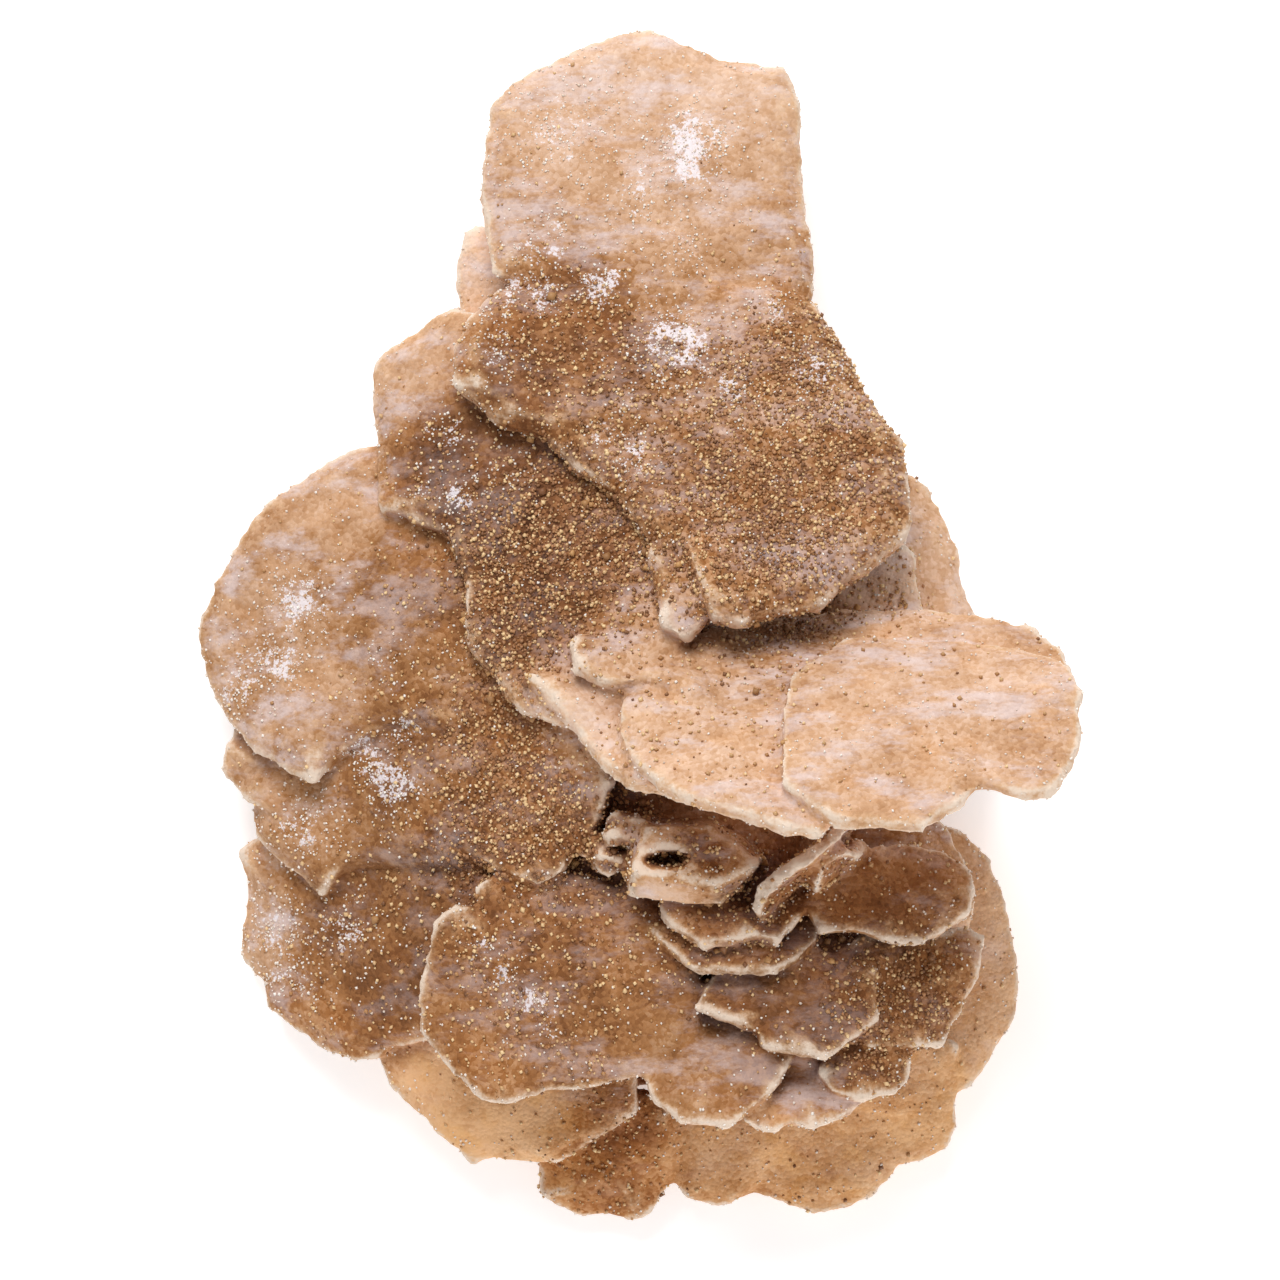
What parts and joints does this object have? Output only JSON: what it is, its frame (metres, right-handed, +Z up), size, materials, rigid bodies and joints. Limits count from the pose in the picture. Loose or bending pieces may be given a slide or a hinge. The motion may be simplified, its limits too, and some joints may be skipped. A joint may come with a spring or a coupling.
{
  "type": "gypsum sand rose",
  "caption": "Desert rose: a cluster of thin, rounded blades of sandy gypsum grown through one another, lying on its worn back.",
  "frame": {"origin": "centre of the bounding box, on the surface that the rose lies on", "axes": "+Z up from the worn back to the viewer's side, +Y from the low skirt blades to the crown blade, +X towards the side with the raised fin"},
  "size_m": [0.066, 0.0912, 0.0356],
  "materials": {
    "sandy_gypsum": "rough granular crystal with pale worn rims and white dust"
  },
  "bodies": {
    "root": {"sand_rose": "sandy_gypsum"}
  },
  "joints": []
}
